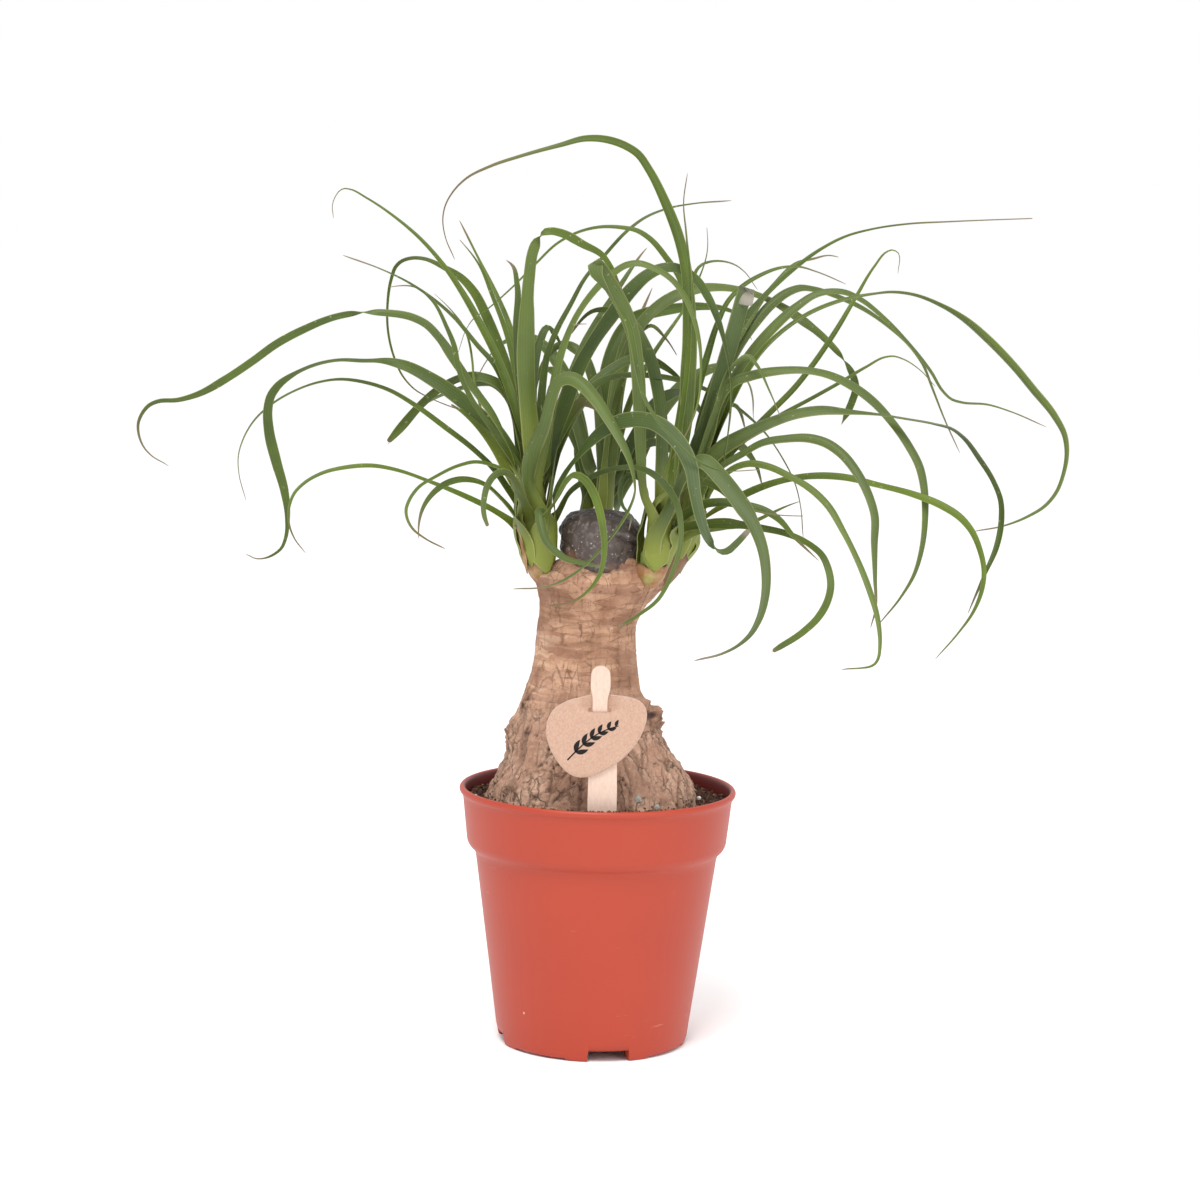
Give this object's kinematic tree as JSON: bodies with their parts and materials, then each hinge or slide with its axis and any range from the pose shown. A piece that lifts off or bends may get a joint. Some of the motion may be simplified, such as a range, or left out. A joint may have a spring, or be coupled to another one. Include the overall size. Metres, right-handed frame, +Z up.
{
  "type": "potted ponytail palm",
  "caption": "Ponytail palm in a round nursery pot: swollen corky trunk with a sealed cut head, leafy shoots with long arching strap leaves, and a plant tag on a wooden stake.",
  "frame": {"origin": "centre of the pot's foot, on the surface the pot stands on", "axes": "+Z up along the pot's axis; -Y is the front, where the plant tag is; +X is to the right seen from the front"},
  "size_m": [0.3953, 0.2535, 0.391],
  "materials": {
    "pot_plastic": "satin",
    "peat": "matte",
    "bark": "matte",
    "wax": "satin",
    "shoot_green": "satin",
    "leaf_green": "satin",
    "birch": "matte",
    "kraft_board": "matte"
  },
  "bodies": {
    "root": {"back_shoot": "shoot_green", "back_shoot_leaf_01": "leaf_green", "back_shoot_leaf_02": "leaf_green", "back_shoot_leaf_03": "leaf_green", "back_shoot_leaf_04": "leaf_green", "back_shoot_leaf_05": "leaf_green", "far_right_shoot": "shoot_green", "far_right_shoot_leaf_01": "leaf_green", "far_right_shoot_leaf_02": "leaf_green", "far_right_shoot_leaf_03": "leaf_green", "far_right_shoot_leaf_04": "leaf_green", "far_right_shoot_leaf_05": "leaf_green", "far_right_shoot_leaf_06": "leaf_green", "far_right_shoot_leaf_07": "leaf_green", "far_right_shoot_leaf_08": "leaf_green", "far_right_shoot_leaf_09": "leaf_green", "far_right_shoot_leaf_10": "leaf_green", "far_right_shoot_leaf_11": "leaf_green", "label_stake": "birch", "label_tag": "kraft_board", "left_shoot": "shoot_green", "left_shoot_leaf_01": "leaf_green", "left_shoot_leaf_02": "leaf_green", "left_shoot_leaf_03": "leaf_green", "left_shoot_leaf_04": "leaf_green", "left_shoot_leaf_05": "leaf_green", "left_shoot_leaf_06": "leaf_green", "left_shoot_leaf_07": "leaf_green", "left_shoot_leaf_08": "leaf_green", "left_shoot_leaf_09": "leaf_green", "left_shoot_leaf_10": "leaf_green", "left_shoot_leaf_11": "leaf_green", "left_shoot_leaf_12": "leaf_green", "left_shoot_leaf_13": "leaf_green", "left_shoot_leaf_14": "leaf_green", "left_shoot_leaf_15": "leaf_green", "left_shoot_leaf_16": "leaf_green", "left_shoot_leaf_17": "leaf_green", "left_shoot_leaf_18": "leaf_green", "left_shoot_leaf_19": "leaf_green", "left_shoot_leaf_20": "leaf_green", "left_shoot_leaf_21": "leaf_green", "left_shoot_leaf_22": "leaf_green", "left_shoot_leaf_23": "leaf_green", "left_shoot_leaf_24": "leaf_green", "pot": "pot_plastic", "right_shoot": "shoot_green", "right_shoot_leaf_01": "leaf_green", "right_shoot_leaf_02": "leaf_green", "right_shoot_leaf_03": "leaf_green", "right_shoot_leaf_04": "leaf_green", "right_shoot_leaf_05": "leaf_green", "right_shoot_leaf_06": "leaf_green", "right_shoot_leaf_07": "leaf_green", "right_shoot_leaf_08": "leaf_green", "right_shoot_leaf_09": "leaf_green", "right_shoot_leaf_10": "leaf_green", "soil": "peat", "trunk": "bark", "wound_seal": "wax"}
  },
  "joints": []
}
